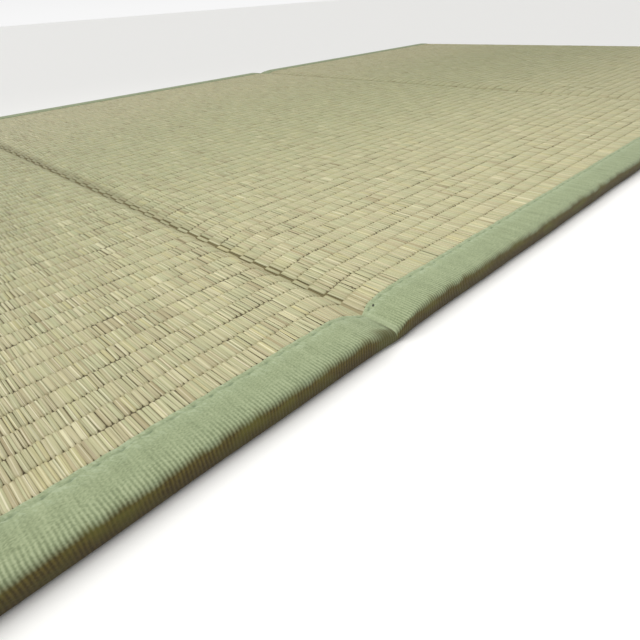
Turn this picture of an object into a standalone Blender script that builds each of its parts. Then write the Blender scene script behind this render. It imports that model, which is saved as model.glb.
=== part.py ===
"""A folding tatami mat: three panels under one face of woven rush, the long edges bound in cloth.

Metres, +Z up. X runs along the mat and Y across it. The mat lies open, with its underside on Z = 0.
"""

import math

import bmesh
import bpy

# The whole mat
LENGTH = 2.100
WIDTH = 1.000
THICKNESS = 0.013  # from the underside to the crests of the woven rows
PANELS = 3

# The woven face: rush lies across the mat, in rows that run along it
ROWS = 63
ROW_GROOVE = 0.0008  # depth of the groove between two rows
ROW_SHOULDER = 0.22  # share of a row's width that rises from its groove to its crest

# The cloth binding, wrapped from the face round each long edge to the underside
BINDING_WIDTH = 0.030
CLOTH = 0.001
BINDING_PROUD = 0.0004  # how far the binding stands above the crests
EDGE_RADIUS = 0.0035
ARC_STEPS = 3
GAP = 0.0003  # between the mat and its binding

# The folds between panels, valleys in the face
FOLD_DIP = 0.0058
FOLD_REACH = 0.027  # from the fold to where the face is level again
FOLD_POWER = 1.4  # over 1, so the valley's sides curve into the level face
FOLD_STATIONS = (0.0, 0.25, 0.6, 1.0)  # shares of the reach where a section is taken

# The short ends, which the rush wraps round
END_REACH = 0.006
END_DROP = 0.004
END_RISE = 0.002
END_STATIONS = (0.0, 0.3, 1.0)

# The step in the underside that lets the mat and its bindings rest on one plane
UNDER_STEP = 0.004

RUSH_COLOUR = (0.56, 0.50, 0.31, 1.0)
CLOTH_COLOUR = (0.36, 0.44, 0.27, 1.0)
SMOOTH_BELOW = math.radians(40)

FOLDS = [LENGTH * (i / PANELS - 0.5) for i in range(1, PANELS)]
RUSH_WIDTH = WIDTH - 2 * BINDING_WIDTH


def clear_scene():
    for obj in list(bpy.data.objects):
        bpy.data.objects.remove(obj)


def principled(name, colour, roughness):
    material = bpy.data.materials.new(name)
    material.use_nodes = True
    shader = material.node_tree.nodes["Principled BSDF"]
    shader.inputs["Base Color"].default_value = colour
    shader.inputs["Roughness"].default_value = roughness
    shader.inputs["Metallic"].default_value = 0.0
    return material


def stations():
    """The places along the mat where its section is taken: closer together at folds and ends."""
    places = set()
    for share in END_STATIONS:
        x = LENGTH / 2 - share * END_REACH
        places |= {x, -x}
    for fold in FOLDS:
        for share in FOLD_STATIONS:
            places |= {fold - share * FOLD_REACH, fold + share * FOLD_REACH}
    return sorted(places)


def end_round(x):
    """From 1 at a short end, down a quarter ellipse, to 0 where the end's rounding stops."""
    inward = min((LENGTH / 2 - abs(x)) / END_REACH, 1.0)
    return 1 - math.sqrt(1 - (1 - inward) ** 2)


def face_drop(x):
    """How far the face lies below its level at x, in a fold's valley or at a rounded end."""
    away = min(abs(x - fold) for fold in FOLDS) / FOLD_REACH
    valley = FOLD_DIP * max(0.0, 1 - away) ** FOLD_POWER
    return valley + END_DROP * end_round(x)


def under_rise(x):
    return END_RISE * end_round(x)


def arc(centre_y, centre_z, radius, start, end):
    """Points on a quarter circle in the Y-Z plane, between two angles in degrees."""
    turns = [math.radians(start + (end - start) * i / ARC_STEPS) for i in range(ARC_STEPS + 1)]
    return [(centre_y + radius * math.cos(a), centre_z + radius * math.sin(a)) for a in turns]


def wrap(x, depth):
    """The path round the +Y long edge, from the face to the underside, this deep below the binding's outside."""
    top = THICKNESS + BINDING_PROUD - face_drop(x) - depth
    bottom = under_rise(x) + depth
    side = WIDTH / 2 - depth
    radius = EDGE_RADIUS - depth
    inner = WIDTH / 2 - BINDING_WIDTH
    over = arc(side - radius, top - radius, radius, 90, 0)
    under = arc(side - radius, bottom + radius, radius, 0, -90)
    return [(inner, top)] + over + under + [(inner, bottom)]


def mirrored(path):
    return [(-y, z) for y, z in path]


def row_profile(x):
    """The woven face's section from -Y to +Y between the bindings: level crests with a groove between rows."""
    pitch = RUSH_WIDTH / ROWS
    crest = THICKNESS - face_drop(x)
    points = []
    for row in range(ROWS):
        start = -RUSH_WIDTH / 2 + row * pitch
        if row:
            points.append((start, crest - ROW_GROOVE))
        points.append((start + ROW_SHOULDER * pitch, crest))
        points.append((start + (1 - ROW_SHOULDER) * pitch, crest))
    return points


def mat_section(x):
    edge = wrap(x, CLOTH + GAP)
    step = WIDTH / 2 - BINDING_WIDTH - UNDER_STEP
    underside = [(step, under_rise(x)), (-step, under_rise(x))]
    return mirrored(edge)[::-1] + row_profile(x) + edge + underside


def binding_section(x):
    return wrap(x, 0.0) + wrap(x, CLOTH)[::-1]


def loft(name, section, material, side=1):
    """One closed solid through the section at each station, with its two ends capped."""
    bm = bmesh.new()
    rings = []
    for x in stations():
        rings.append([bm.verts.new((x, side * y, z)) for y, z in section(x)])
    for ring, after in zip(rings, rings[1:]):
        for i in range(len(ring)):
            bm.faces.new((ring[i - 1], ring[i], after[i], after[i - 1]))
    for ring in (rings[0], rings[-1]):
        bm.faces.new(ring)
    bmesh.ops.recalc_face_normals(bm, faces=bm.faces)
    mesh = bpy.data.meshes.new(name)
    bm.to_mesh(mesh)
    bm.free()
    mesh.shade_smooth()
    mesh.set_sharp_from_angle(angle=SMOOTH_BELOW)
    mesh.materials.append(material)
    obj = bpy.data.objects.new(name, mesh)
    bpy.context.collection.objects.link(obj)
    return obj


def build():
    clear_scene()
    rush = principled("rush", RUSH_COLOUR, 0.75)
    cloth = principled("binding_cloth", CLOTH_COLOUR, 0.85)
    loft("rush_mat", mat_section, rush)
    loft("binding_front", binding_section, cloth, side=-1)
    loft("binding_back", binding_section, cloth)


build()
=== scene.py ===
"""The looks of a folding tatami mat: its woven rush face, stalk by stalk, and its ribbed cloth binding.

Metres, in the frame's own axes: X along the mat, Y across it, +Z up out of the face.
"""

import math

import bpy
import numpy as np
from mathutils import Matrix, Vector


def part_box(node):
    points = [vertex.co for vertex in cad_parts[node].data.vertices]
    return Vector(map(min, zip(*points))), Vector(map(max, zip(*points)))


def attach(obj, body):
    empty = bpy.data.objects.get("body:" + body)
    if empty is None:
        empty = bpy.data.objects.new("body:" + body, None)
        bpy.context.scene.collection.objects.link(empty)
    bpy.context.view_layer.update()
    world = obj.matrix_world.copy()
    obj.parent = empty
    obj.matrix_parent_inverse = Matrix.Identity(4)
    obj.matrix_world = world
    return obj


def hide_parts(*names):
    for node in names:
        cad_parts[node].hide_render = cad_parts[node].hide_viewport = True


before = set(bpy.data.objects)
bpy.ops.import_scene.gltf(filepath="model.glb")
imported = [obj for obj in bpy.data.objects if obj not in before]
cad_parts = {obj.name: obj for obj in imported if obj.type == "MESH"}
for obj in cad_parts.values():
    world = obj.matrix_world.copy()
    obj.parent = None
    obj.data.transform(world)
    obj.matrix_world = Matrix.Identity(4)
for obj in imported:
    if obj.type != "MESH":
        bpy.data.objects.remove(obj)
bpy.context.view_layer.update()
MM = 0.001

# Sizes read from the frame
_, MAT_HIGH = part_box("rush_mat")
CLOTH_LOW, CLOTH_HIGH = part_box("binding_back")
HALF_LENGTH = float(MAT_HIGH[0])
HALF_WIDTH = float(CLOTH_HIGH[1])
FACE = float(MAT_HIGH[2])  # height of the rows' crests
BINDING_WIDTH = float(CLOTH_HIGH[1] - CLOTH_LOW[1])
RUSH_HALF = HALF_WIDTH - BINDING_WIDTH

# The panels and the folds between them
PANELS = 3
FOLDS = [2 * HALF_LENGTH * (i / PANELS - 0.5) for i in range(1, PANELS)]
FOLD_DIP = 5.8 * MM
# How far each side reaches, and how it curves.
# The side towards -X is a round shoulder, softer at the bindings.
WEAVE_SHOULDER = (16 * MM, 2.1)
BINDING_SHOULDER = (27 * MM, 1.6)
FAR_SIDE = (40 * MM, 2.2)
SHOULDER_BLEND = 24 * MM  # width over which the weave takes on the binding's shoulder

# The short ends, which the woven face wraps round
END_REACH = 6 * MM
END_DROP = 4 * MM
END_RISE = 2 * MM
UNDER_TURN = 60  # degrees that the face turns in under an end

# The weave
ROWS = 63
ROW = 2 * RUSH_HALF / ROWS
STALK = 3.0 * MM  # usual width of one visible stalk with its gap
EVEN_SLIT = (1.1 * MM, 3.1 * MM)  # the slit at a fold in even rows, from and to, past the fold's line
ODD_SLITS = (-0.6 * MM, 5.0 * MM)  # in odd rows two slits lie between these,
FOLD_STALK = (1.0 * MM, 4.0 * MM)  # with one stalk between them
MAP_MARGIN = 6 * MM  # what a panel's map leaves free at each end
FACE_STEP = 0.25 * MM
UNDERLAY = 0.8 * MM  # how far the ground under the stalks lies below their crests

# The camera, from the places in a 640 px frame where the mat's sides meet in the distance
FRAME_PX = 640
MIDDLE_PX = Vector((320.0, 318.5))
ALONG_PX = Vector((952.1, -49.0))
ACROSS_PX = Vector((-243.4, 35.8))
SENSOR = 36.0
# In heights of the camera over the face
ROW_SEEN = 0.09596
EDGE_SEEN = 0.9255
FOLD_SEEN = 1.208


def place_camera():
    along = ALONG_PX - MIDDLE_PX
    across = ACROSS_PX - MIDDLE_PX
    focal = math.sqrt(-along.dot(across))
    x_axis = Vector((along.x, -along.y, -focal)).normalized()
    y_axis = Vector((across.x, -across.y, -focal)).normalized()
    z_axis = x_axis.cross(y_axis)
    data = bpy.data.cameras.new("camera")
    data.sensor_width = SENSOR
    data.lens = focal * SENSOR / FRAME_PX
    data.shift_y = (MIDDLE_PX.y - FRAME_PX / 2) / FRAME_PX
    data.clip_start = 0.01
    data.clip_end = 50
    camera = bpy.data.objects.new("camera", data)
    bpy.context.collection.objects.link(camera)
    height = ROW / ROW_SEEN
    camera.matrix_world = Matrix((x_axis, y_axis, z_axis)).to_4x4()
    camera.location = (FOLDS[0] - FOLD_SEEN * height, -HALF_WIDTH - EDGE_SEEN * height, FACE + height)
    bpy.context.scene.camera = camera


# Materials

def node(tree, kind, inputs=(), **settings):
    made = tree.nodes.new(kind)
    for name, value in settings.items():
        setattr(made, name, value)
    for name, value in dict(inputs).items():
        if isinstance(value, bpy.types.NodeSocket):
            tree.links.new(value, made.inputs[name])
        else:
            made.inputs[name].default_value = value
    return made


def math_node(tree, operation, *values, clamp=False):
    made = node(tree, "ShaderNodeMath", enumerate(values), operation=operation, use_clamp=clamp)
    return made.outputs[0]


def ramp(tree, fac, stops):
    made = node(tree, "ShaderNodeValToRGB", {"Fac": fac})
    elements = made.color_ramp.elements
    while len(elements) < len(stops):
        elements.new(0.5)
    for element, (position, colour) in zip(elements, stops):
        element.position = position
        element.color = (*colour, 1.0)
    return made.outputs["Color"]


def mix(tree, fac, first, second, blend="MIX"):
    made = node(tree, "ShaderNodeMix", data_type="RGBA", blend_type=blend)
    for socket, value in zip((made.inputs[0], made.inputs[6], made.inputs[7]), (fac, first, second)):
        if isinstance(value, bpy.types.NodeSocket):
            tree.links.new(value, socket)
        else:
            socket.default_value = (*value, 1.0) if isinstance(value, tuple) else value
    return made.outputs[2]


def attribute(tree, name):
    return node(tree, "ShaderNodeAttribute", attribute_name=name).outputs["Fac"]


def multiply(tree, first, second):
    return math_node(tree, "MULTIPLY", first, second)


def own_place(tree):
    """X and Y of the shaded point in the frame."""
    place = node(tree, "ShaderNodeTexCoord").outputs["Object"]
    x, y, _ = node(tree, "ShaderNodeSeparateXYZ", {"Vector": place}).outputs
    return x, y


def stretched_noise(tree, spots, detail=3.0, turn=0.0):
    """Noise with this many spots to a metre along each axis, turned about Z."""
    place = node(tree, "ShaderNodeTexCoord").outputs["Object"]
    sizes = tuple(1 / s for s in spots)
    mapped = node(tree, "ShaderNodeMapping", {"Vector": place, "Rotation": (0, 0, turn), "Scale": sizes},
                  vector_type="TEXTURE")
    noise = node(tree, "ShaderNodeTexNoise", {"Vector": mapped.outputs[0], "Scale": 1.0, "Detail": detail})
    return noise.outputs["Fac"]


def smooth_step(tree, value, start, end, low, high):
    """From low to high as the value goes from start to end, smoothly."""
    made = node(tree, "ShaderNodeMapRange", {
        "Value": value, "From Min": start, "From Max": end, "To Min": low, "To Max": high},
        interpolation_type="SMOOTHSTEP")
    return made.outputs[0]


def rise_and_fall(tree, value, rise, fall, high=1.0):
    """From 0 to high as the value crosses the rise, and back to 0 as it crosses the fall."""
    return multiply(
        tree, smooth_step(tree, value, *rise, 0.0, high), smooth_step(tree, value, *fall, 1.0, 0.0))


def past_fold(tree, x):
    """How far x lies past the nearest fold, towards +X."""
    return math_node(tree, "MULTIPLY_ADD", math_node(tree, "SIGN", x), -FOLDS[-1], x)


def from_row_end(tree, y):
    """How far y lies from the nearest line where two rows of the weave meet."""
    return math_node(tree, "PINGPONG", math_node(tree, "ADD", y, RUSH_HALF), ROW / 2)


def spot(tree, x, y, centre, half_long, half_short, turn):
    """1 inside an oval spot, 0 outside it, with a soft edge. Its long way is turned this much from X."""
    far_x = math_node(tree, "SUBTRACT", x, centre[0])
    far_y = math_node(tree, "SUBTRACT", y, centre[1])
    away = 0.0
    for side_x, side_y, half in ((math.cos(turn), math.sin(turn), half_long),
                                 (-math.sin(turn), math.cos(turn), half_short)):
        along_x = multiply(tree, far_x, side_x / half)
        along = math_node(tree, "MULTIPLY_ADD", far_y, side_y / half, along_x)
        away = math_node(tree, "ADD", math_node(tree, "POWER", along, 2.0), away)
    return smooth_step(tree, away, 0.5, 1.3, 1.0, 0.0)


def new_material(name, roughness):
    material = bpy.data.materials.new(name)
    material.use_nodes = True
    shader = material.node_tree.nodes["Principled BSDF"]
    shader.inputs["Roughness"].default_value = roughness
    return material, material.node_tree, shader


def finish_shader(tree, shader, colour, height, depth, strength):
    """Give the shader its colour, and a bump from a height."""
    tree.links.new(colour, shader.inputs["Base Color"])
    bump = node(tree, "ShaderNodeBump", {"Height": height, "Distance": depth, "Strength": strength})
    tree.links.new(bump.outputs[0], shader.inputs["Normal"])


# The rush. Colours are linear red, green and blue.
RUSH_TONES = (  # from a stalk's tone
    (0.0, (0.200, 0.145, 0.070)),
    (0.05, (0.300, 0.240, 0.130)),
    (0.16, (0.425, 0.383, 0.234)),
    (0.30, (0.465, 0.428, 0.262)),
    (0.48, (0.425, 0.418, 0.245)),
    (0.64, (0.405, 0.414, 0.248)),
    (0.80, (0.470, 0.430, 0.222)),
    (1.0, (0.610, 0.575, 0.385)),
)
STREAK_COLOUR = (0.475, 0.440, 0.262)
PATCH_COLOUR = (0.390, 0.405, 0.235)
PALE_LINE = (0.700, 0.660, 0.480)
BROWN_LINE = (0.240, 0.185, 0.100)
# Painted shade where stalks dive under at the ends of rows
ROW_END_SHADE = (0.270, 0.225, 0.115)
# Painted shade at a stalk's edges and in its groove
STALK_EDGE_SHADE = (0.155, 0.120, 0.060)
# Painted light: beside the bindings the rush is paler and brighter, towards the middle of the mat darker and
# greener, as the light falls off across it
MIDDLE_SHADE_TINT = (0.905, 0.945, 0.885)
BESIDE_LIGHT_TINT = (1.085, 1.080, 1.070)
LIGHT_TINT_REACH = (0.04, 0.43)
# Painted shade: towards the mat's first end it is a little darker, as the light falls off
FIRST_END_SHADE_REACH = (-0.58, -0.32)
FIRST_END_SHADE_FACTOR = 0.94
# A shade lies past each fold, and is deeper away from the near binding
SHADE_COLOUR = (0.160, 0.145, 0.065)
SHADE_RISE = (-6 * MM, 1 * MM)
SHADE_FALL = (5 * MM, 16 * MM)
SHADE_REACH = (-0.34, -0.06)
SHADE_SHARES = (0.18, 0.50)
# A small frayed place in the weave, past the first fold
FRAYED = (-333.8 * MM, -451.8 * MM)
FRAYED_HALF = (1.8 * MM, 0.7 * MM)
FRAYED_TURN = math.radians(60)
FRAYED_COLOUR = (0.150, 0.115, 0.050)


def line_along_stalk(tree, across, tone, seed, inner, outer, strength):
    """A thin straight line along each stalk, at a place of its own across it and of its own strength."""
    place = math_node(tree, "FRACT", multiply(tree, tone, seed))
    own = math_node(tree, "FRACT", multiply(tree, tone, seed * 2.63))
    middle = math_node(tree, "MULTIPLY_ADD", place, 1.3, -0.65)
    away = math_node(tree, "ABSOLUTE", math_node(tree, "SUBTRACT", across, middle))
    return multiply(tree, own, smooth_step(tree, away, inner, outer, strength, 0.0))


def rush_by_place(tree, colour):
    """The rush's colour by where it lies on the mat: painted shade at the ends of rows, painted light and
    shade across the mat and towards its first end, painted shade past the folds, and a frayed place.
    """
    x, y = own_place(tree)
    # Painted shade where the stalks dive under at the ends of rows
    row_end = smooth_step(tree, from_row_end(tree, y), 0.4 * MM, 2.0 * MM, 0.20, 0.0)
    colour = mix(tree, row_end, colour, ROW_END_SHADE)
    # Painted light beside the bindings and painted shade towards the middle
    beside = smooth_step(tree, math_node(tree, "ABSOLUTE", y), *LIGHT_TINT_REACH, 0.0, 1.0)
    colour = mix(tree, 1.0, colour, mix(tree, beside, MIDDLE_SHADE_TINT, BESIDE_LIGHT_TINT), "MULTIPLY")
    # Painted shade towards the first end
    first_end_shade = smooth_step(tree, x, *FIRST_END_SHADE_REACH, FIRST_END_SHADE_FACTOR, 1.0)
    colour = mix(tree, 1.0, colour, first_end_shade, "MULTIPLY")
    shade = rise_and_fall(tree, past_fold(tree, x), SHADE_RISE, SHADE_FALL)
    shade = multiply(tree, shade, smooth_step(tree, y, *SHADE_REACH, *SHADE_SHARES))
    colour = mix(tree, shade, colour, SHADE_COLOUR)
    frayed = spot(tree, x, y, FRAYED, *FRAYED_HALF, FRAYED_TURN)
    return mix(tree, multiply(tree, frayed, 0.8), colour, FRAYED_COLOUR)


def rush_material():
    """Dry rush: each stalk has its own tone, often two side by side, with fine fibres, and painted shade
    along its edges and in the groove between the two.
    """
    material, tree, shader = new_material("rush", 0.5)
    shader.inputs["Specular IOR Level"].default_value = 0.35
    tone = attribute(tree, "tone")
    across = attribute(tree, "across")
    split = attribute(tree, "split")
    from_middle = math_node(tree, "ABSOLUTE", across)
    other_tone = math_node(tree, "FRACT", math_node(tree, "MULTIPLY_ADD", tone, 5.37, 0.31))
    other_side = multiply(tree, math_node(tree, "GREATER_THAN", across, 0.0), split)
    shift = multiply(tree, math_node(tree, "SUBTRACT", other_tone, tone), other_side)
    colour = ramp(tree, math_node(tree, "MULTIPLY_ADD", shift, 0.7, tone), RUSH_TONES)
    fibres = stretched_noise(tree, (2000, 40, 900))
    colour = mix(tree, 1.0, colour, math_node(tree, "MULTIPLY_ADD", fibres, 1.10, 0.45), "MULTIPLY")
    long_streaks = stretched_noise(tree, (700, 9, 300), detail=2.0)
    colour = mix(tree, multiply(tree, long_streaks, 0.35), colour, STREAK_COLOUR)
    patches = stretched_noise(tree, (9, 5, 9), detail=2.0)
    colour = mix(tree, multiply(tree, patches, 0.3), colour, PATCH_COLOUR)
    colour = mix(tree, line_along_stalk(tree, across, tone, 17.3, 0.06, 0.24, 0.85), colour, PALE_LINE)
    colour = mix(tree, line_along_stalk(tree, across, tone, 29.9, 0.04, 0.15, 0.80), colour, BROWN_LINE)
    colour = rush_by_place(tree, colour)
    # Painted shade along each stalk's edges and in the groove between two stalks side by side
    edge = math_node(tree, "POWER", from_middle, 5.0)
    middle = math_node(tree, "SUBTRACT", 1.0, multiply(tree, from_middle, 7.0), clamp=True)
    groove = multiply(tree, middle, split)
    dark = math_node(tree, "MULTIPLY_ADD", groove, 0.6, multiply(tree, edge, 0.38))
    colour = mix(tree, dark, colour, STALK_EDGE_SHADE)
    height = math_node(tree, "SUBTRACT", multiply(tree, fibres, 0.25), groove)
    finish_shader(tree, shader, colour, height, 0.2 * MM, 0.7)
    return material


# The ground between the stalks, painted dark with the shade down there
# Painted shade: the rush down between the stalks, dark as it lies in shade
GROUND_SHADE_TONES = ((0.3, (0.15, 0.12, 0.06)), (0.7, (0.24, 0.195, 0.105)))
HOLE_SHADE = (0.052, 0.043, 0.021)
SLIT_SHADE = (0.145, 0.122, 0.052)
OUTERMOST_SLIT_SHADE = (0.310, 0.270, 0.150)  # in the row beside a binding
SLITS_MIDDLE = 2.2 * MM  # past the fold
SLITS_HALF = (3.2 * MM, 4.0 * MM)


def ground_material():
    """What shows down in the gaps between stalks: the rush behind, painted dark as shade, darkest in the
    holes where rows meet and in the slits at the folds.
    """
    material, tree, shader = new_material("rush_ground", 0.9)
    colour = ramp(tree, stretched_noise(tree, (500, 60, 500)), GROUND_SHADE_TONES)
    x, y = own_place(tree)
    # Painted shade in the holes where rows meet
    hole = smooth_step(tree, from_row_end(tree, y), 1.2 * MM, 2.6 * MM, 0.75, 0.0)
    colour = mix(tree, hole, colour, HOLE_SHADE)
    # Painted shade in the slits at the folds
    from_slits = math_node(tree, "ABSOLUTE", math_node(tree, "SUBTRACT", past_fold(tree, x), SLITS_MIDDLE))
    outermost = smooth_step(
        tree, math_node(tree, "ABSOLUTE", y), RUSH_HALF - 16 * MM, RUSH_HALF - 14 * MM, 0.0, 1.0)
    slit_shade = mix(tree, outermost, SLIT_SHADE, OUTERMOST_SLIT_SHADE)
    colour = mix(tree, smooth_step(tree, from_slits, *SLITS_HALF, 0.95, 0.0), colour, slit_shade)
    tree.links.new(colour, shader.inputs["Base Color"])
    return material


BACKING_TONES = ((0.3, (0.42, 0.38, 0.29)), (0.7, (0.52, 0.48, 0.38)))


def backing_material():
    """The plain cloth of the underside."""
    material, tree, shader = new_material("backing", 0.95)
    grain = stretched_noise(tree, (700, 700, 700))
    finish_shader(tree, shader, ramp(tree, grain, BACKING_TONES), grain, 0.2 * MM, 0.5)
    return material


# The cloth of the bindings
RIB = 1.88 * MM
CLOTH_TONES = ((0.1, (0.188, 0.224, 0.118)), (0.5, (0.284, 0.332, 0.188)), (0.9, (0.382, 0.430, 0.260)))
CLOTH_PATCH_COLOUR = (0.245, 0.312, 0.195)
# Painted highlight on the raised hem by the seam
SEAM_HIGHLIGHT = (0.345, 0.415, 0.255)
GLINT_COLOUR = (0.43, 0.50, 0.34)
# Painted shade in the stitch dimples
STITCH_DIMPLE_SHADE = (0.085, 0.130, 0.075)
# Painted shade and brown reflection low on the side of the binding
SIDE_SHADE_TONES = ((0.0, (0.058, 0.041, 0.008)), (1.0, (0.134, 0.100, 0.019)))
OLIVE_SIDE_SHADE = (0.126, 0.118, 0.020)
# Painted shade at the foot of the side, by the floor
FLOOR_SHADE = (0.036, 0.022, 0.010)  # at the foot of the side
# Places on the strip, in centimetres out from its inner edge
NEAR_SEAM = (0.5, 1.3)
RIBS_GROW = (1.6, 2.75)
LOW_STARTS = (2.44, 2.94)
FLOOR_NEARS = (3.0, 3.75)
# Painted shade and highlight beside each fold: shade in the crease, shade over the near part's rounded
# corner, and a highlight on the far part's lip. Each gives where it starts and stops past the fold, its
# strength, where on the strip, and colour
FOLD_SHADE_AND_HIGHLIGHT = (
    ((-5 * MM, -1.2 * MM), (-0.8 * MM, 0.2 * MM), 1.0, (0.8, 2.4, 0.15, 0.75), (0.078, 0.086, 0.036)),
    ((-22 * MM, -8 * MM), (-0.8 * MM, 0.2 * MM), 0.8, (2.0, 2.55, 0.0, 1.0), (0.100, 0.098, 0.034)),
    ((0.0, 0.6 * MM), (0.8 * MM, 4.0 * MM), 0.4, (2.4, 2.8, 1.0, 0.0), (0.43, 0.49, 0.32)),
)
# A dark speck on the near binding, just past the first fold
SPECK = (-340.8 * MM, -475.3 * MM)
SPECK_HALF = (1.5 * MM, 0.75 * MM)
SPECK_TURN = math.radians(40)
SPECK_COLOUR = (0.015, 0.015, 0.01)


def painted_side_shade(tree, colour, weave, rib, out):
    """Painted shade and a painted brown reflection low on the side: the cloth's colour turned brown and
    olive there, with an uneven border.
    """
    fray = math_node(tree, "SUBTRACT", stretched_noise(tree, (90, 60, 60)), 0.5)
    ragged = math_node(tree, "MULTIPLY_ADD", fray, 0.7, out)
    ragged = math_node(tree, "MULTIPLY_ADD", math_node(tree, "SUBTRACT", 0.5, rib), 0.07, ragged)
    low = smooth_step(tree, ragged, *LOW_STARTS, 0.0, 0.97)
    side_shade_colour = ramp(tree, weave, SIDE_SHADE_TONES)
    olive = smooth_step(tree, stretched_noise(tree, (45, 90, 90), detail=2.0), 0.45, 0.65, 0.0, 0.7)
    side_shade_colour = mix(tree, olive, side_shade_colour, OLIVE_SIDE_SHADE)
    floor_shade = smooth_step(tree, out, *FLOOR_NEARS, 0.0, 0.55)
    side_shade_colour = mix(tree, floor_shade, side_shade_colour, FLOOR_SHADE)
    return mix(tree, low, colour, side_shade_colour)


def cloth_material():
    """Ribbed cotton, each rib running over the edge and down; a painted highlight where it stands up by the
    seam, painted shade in the stitch dimples and low on the side, and painted shade and highlight beside the
    folds.

    The points' value named out says how far they lie from the strip's inner edge, in centimetres.
    """
    material, tree, shader = new_material("binding_cloth", 0.85)
    shader.inputs["Specular IOR Level"].default_value = 0.2
    shader.inputs["Sheen Weight"].default_value = 0.12
    x, y = own_place(tree)
    out = attribute(tree, "out")
    stitch = attribute(tree, "stitch")
    sway = stretched_noise(tree, (30, 45, 45))
    turns = math_node(tree, "MULTIPLY_ADD", x, 2 * math.pi / RIB, multiply(tree, sway, 6.0))
    rib = math_node(tree, "MULTIPLY_ADD", math_node(tree, "SINE", turns), 0.5, 0.5)
    strength = smooth_step(tree, out, *RIBS_GROW, 0.14, 0.78)
    uneven = stretched_noise(tree, (260, 45, 45), detail=2.0)
    weave = multiply(tree, math_node(tree, "SUBTRACT", rib, 0.5), strength)
    threads = stretched_noise(tree, (800, 1500, 1500), detail=2.0)
    weave = math_node(tree, "MULTIPLY_ADD", math_node(tree, "SUBTRACT", threads, 0.5), 1.4, weave)
    weave = math_node(tree, "MULTIPLY_ADD", math_node(tree, "SUBTRACT", uneven, 0.5), 0.6, weave)
    weave = math_node(tree, "ADD", weave, 0.5)
    colour = ramp(tree, weave, CLOTH_TONES)
    patches = stretched_noise(tree, (12, 40, 40), detail=2.0)
    colour = mix(tree, multiply(tree, patches, 0.3), colour, CLOTH_PATCH_COLOUR)
    near_seam = smooth_step(tree, out, *NEAR_SEAM, 1.0, 0.0)
    # Painted highlight on the raised hem by the seam, which stands up towards the light
    colour = mix(tree, multiply(tree, near_seam, 0.22), colour, SEAM_HIGHLIGHT)
    puckers = stretched_noise(tree, (700, 260, 260), detail=2.0, turn=math.radians(35))
    glint = multiply(tree, near_seam, smooth_step(tree, puckers, 0.52, 0.64, 0.0, 0.40))
    colour = mix(tree, glint, colour, GLINT_COLOUR)
    # Painted shade in the dimples where each stitch pulls the cloth in
    colour = mix(tree, multiply(tree, stitch, 0.8), colour, STITCH_DIMPLE_SHADE)
    # Painted shade and brown reflection low on the side
    colour = painted_side_shade(tree, colour, weave, rib, out)
    past = past_fold(tree, x)
    # Painted shade in the crease and on the near corner, and a painted highlight on the far lip
    for rise, fall, high, on_strip, fold_shading_colour in FOLD_SHADE_AND_HIGHLIGHT:
        fold_shading = rise_and_fall(tree, past, rise, fall, high)
        fold_shading = multiply(tree, fold_shading, smooth_step(tree, out, *on_strip))
        colour = mix(tree, fold_shading, colour, fold_shading_colour)
    speck = spot(tree, x, y, SPECK, *SPECK_HALF, SPECK_TURN)
    colour = mix(tree, multiply(tree, speck, 0.9), colour, SPECK_COLOUR)
    height = math_node(tree, "MULTIPLY_ADD", puckers, multiply(tree, near_seam, 1.8), weave)
    finish_shader(tree, shader, colour, height, 0.28 * MM, 0.7)
    return material


# Shapes

def valley(x, shoulder):
    """How far the face lies below its level at x, in the valley of a fold."""
    x = np.asarray(x, float)
    depth = np.zeros_like(x)
    for fold in FOLDS:
        near = np.clip(1 - (fold - x) / shoulder[0], 0, 1) ** shoulder[1]
        far = np.clip(1 - (x - fold) / FAR_SIDE[0], 0, 1) ** FAR_SIDE[1]
        depth += FOLD_DIP * np.where(x < fold, near, far)
    return depth


def beside_binding(x, y):
    """How much further down the weave lies where it takes on the binding's shoulder."""
    share = np.clip((np.abs(y) - RUSH_HALF + SHOULDER_BLEND) / SHOULDER_BLEND, 0, 1)
    return share ** 2 * (3 - 2 * share) * (valley(x, BINDING_SHOULDER) - valley(x, WEAVE_SHOULDER))


def face_line():
    """The crests' line in X and Z from under one short end, over the face, to under the other."""
    over = np.radians(np.linspace(0, 90, 16))
    under = np.radians(np.linspace(0, UNDER_TURN, 8))
    end_x = np.concatenate([
        HALF_LENGTH - END_REACH * (1 - np.sin(over)), HALF_LENGTH - END_REACH * (1 - np.cos(under))])
    end_z = np.concatenate([
        FACE - END_DROP * (1 - np.cos(over)), END_RISE * (1 - np.sin(under))])
    top_x = np.arange(-HALF_LENGTH + END_REACH, HALF_LENGTH - END_REACH, FACE_STEP)[1:]
    x = np.concatenate([-end_x[::-1], top_x, end_x])
    z = np.concatenate([end_z[::-1], FACE - valley(top_x, WEAVE_SHOULDER), end_z])
    along = np.concatenate([[0], np.cumsum(np.hypot(np.diff(x), np.diff(z)))])
    even = np.arange(0, along[-1], FACE_STEP)
    x, z = np.interp(even, along, x), np.interp(even, along, z)
    run_x, run_z = np.gradient(x), np.gradient(z)
    size = np.hypot(run_x, run_z)
    return even, x, z, -run_z / size, run_x / size


LINE = face_line()


def on_face(along, y, height):
    """Points this far along the face's line, raised by height out of it."""
    x, z, normal_x, normal_z = (np.interp(along, LINE[0], column) for column in LINE[1:])
    return np.stack([x + normal_x * height, np.broadcast_to(y, x.shape), z + normal_z * height], -1)


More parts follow.
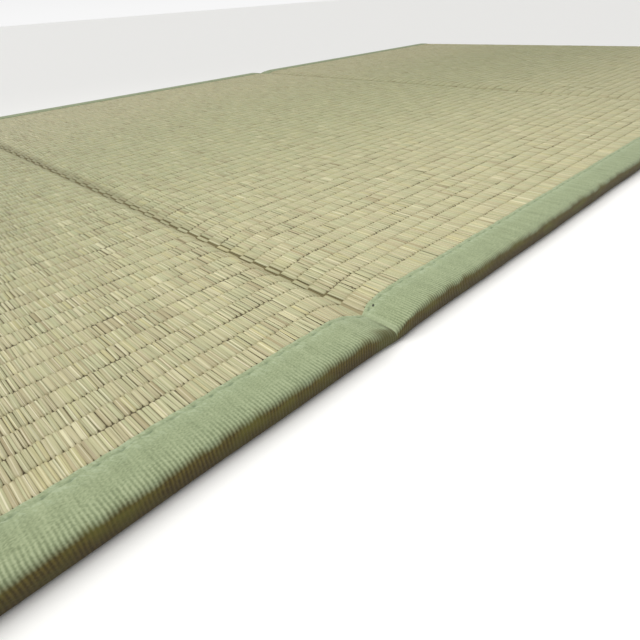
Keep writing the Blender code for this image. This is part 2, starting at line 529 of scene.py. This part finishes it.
def mesh_object(name, points, quads, materials, caps=()):
    """A smooth-shaded object from points, four-cornered faces and any larger ones that cap its ends."""
    corners = np.concatenate([quads.ravel(), *caps])
    cap_starts = quads.size + np.cumsum([0] + [len(cap) for cap in caps])[:-1]
    starts = np.concatenate([np.arange(0, quads.size, 4), cap_starts])
    mesh = bpy.data.meshes.new(name)
    mesh.vertices.add(len(points))
    mesh.vertices.foreach_set("co", np.ascontiguousarray(points, np.float32).ravel())
    mesh.loops.add(len(corners))
    mesh.loops.foreach_set("vertex_index", np.ascontiguousarray(corners, np.int32))
    mesh.polygons.add(len(starts))
    mesh.polygons.foreach_set("loop_start", np.ascontiguousarray(starts, np.int32))
    mesh.update(calc_edges=True)
    mesh.shade_smooth()
    for material in materials:
        mesh.materials.append(material)
    obj = bpy.data.objects.new(name, mesh)
    bpy.context.collection.objects.link(obj)
    return obj


def set_values(mesh, name, values):
    layer = mesh.attributes.new(name, "FLOAT", "POINT")
    layer.data.foreach_set("value", np.ascontiguousarray(values, np.float32).ravel())


def set_map(mesh, name, u, v):
    """A map for each corner from values for each point."""
    index = np.empty(len(mesh.loops), np.int32)
    mesh.loops.foreach_get("vertex_index", index)
    layer = mesh.uv_layers.new(name=name)
    places = np.stack([u.ravel()[index], v.ravel()[index]], -1)
    layer.data.foreach_set("uv", places.astype(np.float32).ravel())


def stalk_edges(start, end, at_start_fold, at_end_fold, rng):
    """Where stalks meet along the face, half a stalk apart, from one end of a panel to the other."""
    first = start + (EVEN_SLIT[1] if at_start_fold else 0)
    second = start + (ODD_SLITS[1] if at_start_fold else STALK / 2)
    last = end + (EVEN_SLIT[0] if at_end_fold else 0)
    before = end + (ODD_SLITS[0] if at_end_fold else -STALK / 2)
    count = 2 * round((before - second) / STALK)
    steps = rng.uniform(0.62, 1.38, count)
    inner = second + (before - second) * np.concatenate([[0], np.cumsum(steps)]) / steps.sum()
    return np.concatenate([[first], inner, [last]])


# One visible stalk, in shares of its half width and in depths below its crest
STALK_ACROSS = np.array([-1.0, -0.74, 0.74, 1.0])
SIDE_DEPTH = np.array([0.34, 0.0, 0.0, 0.34]) * MM
END_WIDTH = np.array([0.66, 1.0, 1.0, 0.88])  # drawn in most at the end towards -Y
END_DEPTH = np.array([0.80, 0.0, 0.0, 0.70]) * MM
STALK_ENDS = 1.3 * MM  # length over which it rises out of the weave
STALK_OVERLAP = 0.35 * MM  # how far it reaches between the stalks of the next row
UNDER_HEM = 1.5 * MM  # how far an outermost stalk runs on under the binding
UNDER_HEM_DEPTH = 0.15 * MM
FOLD_STALK_DROP = 0.15 * MM
TONE_KEYS = 9973
BROWN_STALK = -310.3 * MM  # a brown stalk in the row beside the near binding


def stalks(name, edges, rows, fold_stalks, rng, material):
    """The visible stalks of some rows of one panel, as one mesh."""
    low, high, row, drop = [], [], [], []
    for r in rows:
        picked = edges[r % 2::2]
        low.append(picked[:-1])
        high.append(picked[1:])
        row.append(np.full(len(picked) - 1, r))
        drop.append(np.zeros(len(picked) - 1))
        if r % 2:
            for fold in fold_stalks:
                low.append([fold + FOLD_STALK[0]])
                high.append([fold + FOLD_STALK[1]])
                row.append([r])
                drop.append([FOLD_STALK_DROP])
    low, high, row, drop = (np.concatenate(part) for part in (low, high, row, drop))
    count = len(low)
    sway = 0.35 * MM * (np.sin(low * 31 + row * 0.9) + np.sin(low * 77 - row * 0.43))
    middle = (low + high) / 2 + sway + rng.normal(0, 0.05 * MM, count)
    gap = np.where(
        rng.random(count) < 0.16, rng.uniform(0.12, 0.34, count), rng.uniform(-0.06, 0.07, count))
    half = (high - low) / 2 - gap * MM
    stalk_key = np.round(low / (0.4 * MM)).astype(np.int64) % TONE_KEYS
    own_tone = rng.random(TONE_KEYS)[stalk_key]
    drift = 0.10 * np.sin(low * 260 + row * 2.1) + 0.08 * np.sin(low * 97 - row * 1.3)
    tone = 0.5 * own_tone + 0.5 * rng.random(count) + drift + rng.normal(0, 0.08, count)
    tone = np.clip(tone, 0.06 + 0.05 * rng.random(count), 1 - 0.05 * rng.random(count))
    tone = np.where(rng.random(count) < 0.02, 0.10 * rng.random(count), tone)
    from_brown = np.abs(np.interp(middle, LINE[0], LINE[1]) - BROWN_STALK)
    tone = np.where((row == 0) & (from_brown < STALK / 2), 0.08, tone)
    split = (rng.random(count) < 0.7).astype(float) * rng.uniform(0.5, 1.0, count)
    start = -RUSH_HALF + row * ROW
    start = start + 0.35 * MM * (np.sin(low * 23 + row * 1.7) + np.sin(low * 61 - row * 2.3)) * (row > 0)
    lap = STALK_OVERLAP + rng.uniform(-0.6, 0.6, (2, count)) * MM
    ys = np.stack([start - lap[0], start + STALK_ENDS, start + ROW - STALK_ENDS, start + ROW + lap[1]], -1)
    depth_along = np.tile(END_DEPTH, (count, 1))
    under = UNDER_HEM + drawn_out(np.interp(middle, LINE[0], LINE[1]))
    ys[row == 0, 0] = -RUSH_HALF - under[row == 0]
    ys[row == ROWS - 1, -1] = RUSH_HALF + under[row == ROWS - 1]
    depth_along[row == 0, 0] = UNDER_HEM_DEPTH
    depth_along[row == ROWS - 1, -1] = UNDER_HEM_DEPTH
    lean = rng.normal(0, 0.12 * MM, count)
    lift = rng.normal(0, 0.08 * MM, count) - drop
    roll = rng.normal(0, 0.07 * MM, count)
    grid = (count, 4, 4)
    shift = lean[:, None, None] * np.array([-1, -0.7, 0.7, 1])[None, :, None]
    along = middle[:, None, None] + shift + half[:, None, None] * END_WIDTH[None, :, None] * STALK_ACROSS
    depth = depth_along[:, :, None] + SIDE_DEPTH - lift[:, None, None] + roll[:, None, None] * STALK_ACROSS
    points = on_face(along, np.broadcast_to(ys[:, :, None], grid), -depth)
    points[..., 2] -= beside_binding(points[..., 0], points[..., 1])
    corner = np.arange(16).reshape(4, 4)
    quads = np.stack([corner[:-1, :-1], corner[:-1, 1:], corner[1:, 1:], corner[1:, :-1]], -1)
    quads = quads.reshape(-1, 4)
    quads = (quads[None] + 16 * np.arange(count)[:, None, None]).reshape(-1, 4)
    obj = mesh_object(name, points.reshape(-1, 3), quads, [material])
    set_values(obj.data, "tone", np.repeat(tone, 16))
    set_values(obj.data, "split", np.repeat(split, 16))
    set_values(obj.data, "across", np.broadcast_to(STALK_ACROSS, grid))
    span_u = edges[-1] - edges[0] + 2 * MAP_MARGIN
    flat_u = (low + high)[:, None, None] / 2 + (high - low)[:, None, None] / 2 * STALK_ACROSS[None, None, :]
    flat_v = row[:, None, None] + np.array([0, 0.12, 0.88, 1.0])[None, :, None]
    u = (np.broadcast_to(flat_u, grid) - edges[0] + MAP_MARGIN) / span_u
    v = (np.broadcast_to(flat_v, grid) - rows[0]) / len(rows)
    set_map(obj.data, "OFBake", u, v)
    return obj


def ring_mesh(name, rings, materials):
    """A closed solid through rings of points, with a cap on each end."""
    rings = np.asarray(rings)
    count, around = rings.shape[:2]
    index = np.arange(count * around).reshape(count, around)
    turned = np.roll(index, -1, axis=1)
    quads = np.stack([index[:-1], index[1:], turned[1:], turned[:-1]], -1).reshape(-1, 4)
    return mesh_object(name, rings.reshape(-1, 3), quads, materials, caps=(index[0], index[-1][::-1]))


def end_round(x):
    inward = np.clip((HALF_LENGTH - np.abs(x)) / END_REACH, 0, 1)
    return 1 - np.sqrt(1 - (1 - inward) ** 2)


def face_level(x, shoulder=BINDING_SHOULDER):
    return FACE - valley(x, shoulder) - END_DROP * end_round(x)


def near_fold(x, centre, spread):
    """A smooth bump beside each fold: 1 at this distance past it, falling off over the spread."""
    return sum(np.exp(-((x - fold - centre) / spread) ** 2) for fold in FOLDS)


def pinch(x):
    """How far the fold draws the strip's outer part down, just on the near side of the fold."""
    return 0.6 * MM * near_fold(x, -2.2 * MM, 2.4 * MM)


def drawn_out(x):
    """How far the fold draws the strip's inner edge outwards."""
    return 3.6 * MM * near_fold(x, -1.5 * MM, 7 * MM)


BODY_INSET = 1.3 * MM  # what the cloth and its gap take from the mat's own edge
BODY_RADIUS = 2.2 * MM
BODY_END = 1.0 * MM  # how far the body stops short of the woven end
TRENCH_HALF = 1.2 * MM
TRENCH_DEPTH = 0.1 * MM


def body_stations():
    ends = HALF_LENGTH - BODY_END - END_REACH * np.array([0, 0.05, 0.2, 0.5, 1.0])
    places = [ends, -ends]
    for fold in FOLDS:
        away = np.concatenate([
            [TRENCH_HALF, TRENCH_HALF + 0.4 * MM], np.array([3, 4.5, 6.5, 9, 12, 16, 21, 27, 33, 40]) * MM])
        places += [fold + away, fold - away, [fold]]
    return np.unique(np.round(np.concatenate(places), 6))


def mat_body(ground, backing):
    """The mat under its stalks: a ground between them, painted dark as shade, and a plain underside."""
    rings = []
    for x in body_stations():
        away = min(abs(x - fold) for fold in FOLDS)
        at_end = abs(x) > HALF_LENGTH - 2 * END_REACH
        seen = x + math.copysign(BODY_END, x) if at_end else x
        trench = TRENCH_DEPTH if away <= TRENCH_HALF + 1e-6 else 0
        top = float(face_level(seen)) - UNDERLAY - trench
        woven_top = float(face_level(seen, WEAVE_SHOULDER)) - UNDERLAY - trench
        rise = END_RISE * float(end_round(seen)) + (BODY_END if abs(seen) > HALF_LENGTH - END_REACH else 0)
        side = HALF_WIDTH - BODY_INSET
        step = RUSH_HALF - 4 * MM
        corner = top - 1.2 * float(pinch(x)) - 0.6 * MM
        half = [(0, woven_top), (RUSH_HALF - SHOULDER_BLEND, woven_top), (RUSH_HALF, top)]
        half += [(side - 4 * BODY_RADIUS, min(top, corner + 1 * MM)), (side - BODY_RADIUS, corner)]
        half += [(side, max(corner - BODY_RADIUS, rise + BODY_INSET + 1.2 * MM))]
        half += [(side, rise + BODY_INSET + 1 * MM), (side - 1 * MM, rise + BODY_INSET)]
        half += [(RUSH_HALF - 1 * MM, rise + BODY_INSET), (step, rise), (step / 2, rise), (0, rise)]
        ring = [(x, -y, z) for y, z in half[::-1]] + [(x, y, z) for y, z in half[1:-1]]
        rings.append(ring)
    obj = ring_mesh("mat_body", rings, [ground, backing])
    mesh = obj.data
    bottom = [p.index for p in mesh.polygons if p.normal.z < -0.5]
    for i in bottom:
        mesh.polygons[i].material_index = 1
    return obj


# The binding's outside, from its inner edge outwards: distance from that edge and height over the crests
STITCH_PITCH = 11.1 * MM
STITCHES = round(2 * HALF_LENGTH / STITCH_PITCH)
STEPS_PER_STITCH = 6
CLOTH_THICK = 0.8 * MM
EDGE_RADIUS = 3.6 * MM
HEM = (
    # out from the inner edge, over the crests, how much a stitch pulls it down: millimetres, share
    (0.25, -0.50, 0.0),
    (0.00, -0.05, 0.0),
    (0.10, 0.30, 0.05),
    (0.60, 0.50, 0.15),
    (1.80, 0.58, 0.4),
    (2.70, 0.54, 0.8),
    (3.30, 0.46, 1.0),
    (3.90, 0.62, 0.7),
    (5.20, 0.88, 0.25),
    (7.20, 1.00, 0.05),
    (11.0, 0.95, 0.0),
    (17.0, 0.85, 0.0),
    (22.5, 0.72, 0.0),
)
STITCH_PULL = 0.55 * MM
CORNER_TURNS = (78, 60, 42, 24, 8)
LOW_TURNS = (-12, -50, -88)
LOW_RADIUS = 2.0 * MM
STRIP_IN = 0.3 * MM  # how far the strip's inner edge lies outside the line of the CAD's


def smooth_bumps(x, wavelengths, rng):
    """A gentle irregular wave along x, about -1 to 1."""
    total = sum(np.sin(2 * math.pi * x / w + rng.uniform(0, 2 * math.pi)) for w in wavelengths)
    return total / len(wavelengths) ** 0.5


def binding_stations():
    even = np.linspace(-HALF_LENGTH, HALF_LENGTH, STITCHES * STEPS_PER_STITCH + 1)
    places = [even]
    for fold in FOLDS:
        places.append(fold + np.linspace(-8, 8, 33) * MM)
    ends = HALF_LENGTH - np.concatenate([[CLOTH_THICK], END_REACH * np.array([0.02, 0.06, 0.25, 0.5])])
    places += [ends, -ends]
    return np.unique(np.round(np.concatenate(places), 5))


def binding(name, side, material, rng):
    """The cloth strip round one long edge, as a closed thin sheet, its ends tucked shut over the mat's."""
    x = binding_stations()
    level = face_level(x)
    wave = STRIP_IN + 0.35 * MM * smooth_bumps(x, (0.011, 0.037, 0.083), rng)
    stitch_phase = np.abs(((x / STITCH_PITCH + 0.13 * smooth_bumps(x, (0.05, 0.11), rng)) % 1) - 0.5) * 2
    pull = STITCH_PULL * np.clip(stitch_phase * 2.0 - 1.0, 0, 1)
    pucker = 0.13 * MM * smooth_bumps(x, (0.0073, 0.0123, 0.021), rng)
    crease = 0.9 * MM * near_fold(x, 0, 0.8 * MM)
    dimple = pinch(x)
    lip = 0.3 * MM * near_fold(x, 2.0 * MM, 1.6 * MM)
    radius = EDGE_RADIUS + 2.6 * MM * near_fold(x, -8 * MM, 8 * MM)
    radius = radius - 2.0 * MM * near_fold(x, 11 * MM, 10 * MM)
    bulge = 0.5 * MM * near_fold(x, 8 * MM, 9 * MM) + 0.6 * MM * near_fold(x, -1 * MM, 9 * MM)
    rise = END_RISE * end_round(x)
    top = level + 0.62 * MM - crease - dimple + lip
    radius = np.clip(radius, 1.5 * MM, (top - rise) * 0.45)
    inner = RUSH_HALF + wave + drawn_out(x)
    columns = []
    reach = []
    for out, over, share in HEM:
        lift = over * MM - share * pull + pucker * min(out / 4, 1.0) * (1 if out < 12 else 0.4)
        lift = lift - crease * 0.7
        lift = lift + lip - dimple * max(0.0, (out - 10) / 16) ** 1.5
        columns.append((inner + out * MM, level + lift))
        reach.append(out)
    belly = bulge + 0.25 * MM * smooth_bumps(x, (0.09, 0.21, 0.47), rng)
    outside = HALF_WIDTH + belly
    for turn in np.radians(CORNER_TURNS):
        columns.append((outside - radius + radius * math.cos(turn), top - radius + radius * math.sin(turn)))
        reach.append(29.0 - 4.5 * math.sin(turn))
    columns.append((outside, (top + rise) / 2 - 0.5 * MM))
    reach.append(34.0)
    for turn in np.radians(LOW_TURNS):
        low_y = outside - LOW_RADIUS * (1 - math.cos(turn))
        columns.append((low_y, rise + LOW_RADIUS * (1 + math.sin(turn))))
        reach.append(38.0 - 2.0 * math.sin(turn))
    columns.append((inner, rise + 0.02 * MM))
    reach.append(60.0)
    inside = HALF_WIDTH - CLOTH_THICK
    lining = [
        (inner, rise + CLOTH_THICK),
        (inside - 1.5 * MM, rise + CLOTH_THICK),
        (inside, rise + CLOTH_THICK + 1.5 * MM),
        (inside, np.maximum(top - CLOTH_THICK - radius * 0.8, rise + CLOTH_THICK + 1.7 * MM)),
        (inside - radius * 0.8, top - CLOTH_THICK),
        (inner + 0.8 * MM, level - 0.65 * MM),
    ]
    shut = np.abs(x) > HALF_LENGTH - CLOTH_THICK / 2
    for i, (y, z) in enumerate(lining):
        share = (i + 1) / (len(lining) + 1)
        shut_z = rise + share * (level - 0.65 * MM - rise)
        columns.append((np.where(shut, inner + 0.1 * MM, y), np.where(shut, shut_z, z)))
        reach.append(60.0)
    rings = np.stack([np.stack(np.broadcast_arrays(x, side * y, z), -1) for y, z in columns], 1)
    if side < 0:
        rings = rings[:, ::-1]
        reach = reach[::-1]
    obj = ring_mesh(name, rings, [material])
    set_values(obj.data, "out", np.tile(np.array(reach) / 10, len(x)))
    # How much painted shade each point gets in the stitch dimples: most where a stitch pulls the cloth in
    seam = np.zeros(len(reach))
    seam[:len(HEM)] = [max(0.0, share * 2.4 - 1.4) for _, _, share in HEM]
    if side < 0:
        seam = seam[::-1]
    at_stitch = 0.2 + 0.8 * np.clip(stitch_phase * 3 - 2, 0, 1)
    set_values(obj.data, "stitch", seam[None, :] * at_stitch[:, None])
    return obj


# The piece and its setting

def build_mat():
    rush, ground, backing, cloth = rush_material(), ground_material(), backing_material(), cloth_material()
    body = mat_body(ground, backing)
    fold_at = [float(np.interp(fold, LINE[1][400:-400], LINE[0][400:-400])) for fold in FOLDS]
    stops = [LINE[0][0], *fold_at, LINE[0][-1]]
    halves = {"front": range(0, ROWS // 2), "back": range(ROWS // 2, ROWS)}
    weave = []
    for panel in range(PANELS):
        rng = np.random.default_rng(20 + panel)
        edges = stalk_edges(stops[panel], stops[panel + 1], panel > 0, panel < PANELS - 1, rng)
        fold_stalks = [stops[panel + 1]] if panel < PANELS - 1 else []
        for place, rows in halves.items():
            name = f"weave_{panel + 1}_{place}"
            weave.append(stalks(name, edges, rows, fold_stalks, rng, rush))
    bindings = [binding("binding_strip_front", -1, cloth, np.random.default_rng(5)),
                binding("binding_strip_back", 1, cloth, np.random.default_rng(6))]
    for piece in [body, *weave]:
        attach(piece, "root")
        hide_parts("rush_mat")
    for piece, cad in zip(bindings, ("binding_front", "binding_back")):
        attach(piece, "root")
        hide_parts(cad)


def aimed_light(kind, name, place, aim, energy, colour, **settings):
    lamp = bpy.data.lights.new(name, kind)
    lamp.energy = energy
    lamp.color = colour
    for setting, value in settings.items():
        setattr(lamp, setting, value)
    light = bpy.data.objects.new(name, lamp)
    light.location = place
    light.rotation_euler = (Vector(aim) - light.location).to_track_quat("-Z", "Y").to_euler()
    bpy.context.collection.objects.link(light)


def floor_and_light():
    bpy.ops.mesh.primitive_plane_add(size=30, location=(0, 0, 0))
    floor = bpy.context.object
    floor.name = "floor"
    material, tree, shader = new_material("floor", 0.8)
    shader.inputs["Base Color"].default_value = (0.93, 0.93, 0.925, 1)
    floor.data.materials.append(material)
    world = bpy.data.worlds.new("world")
    bpy.context.scene.world = world
    world.use_nodes = True
    tree = world.node_tree
    way = node(tree, "ShaderNodeTexCoord").outputs["Generated"]
    _, _, up = node(tree, "ShaderNodeSeparateXYZ", {"Vector": way}).outputs
    haze = ramp(tree, up, ((0.0, (0.93, 0.93, 0.93)), (0.40, (0.45, 0.45, 0.45))))
    tree.links.new(haze, tree.nodes["Background"].inputs["Color"])
    aimed_light("AREA", "key", (-0.26, -0.25, 1.35), (-0.26, -0.42, 0), 2.3, (1.0, 0.985, 0.945),
                shape="RECTANGLE", size=0.7, size_y=0.5, spread=math.radians(95))
    aimed_light("SUN", "sky", (-1.1, 1.5, 2.1), (0, 0, 0), 1.68, (1.0, 0.99, 0.95), angle=math.radians(35))
    bpy.context.scene.view_settings.view_transform = "Standard"


place_camera()
build_mat()
floor_and_light()

bpy.context.view_layer.update()
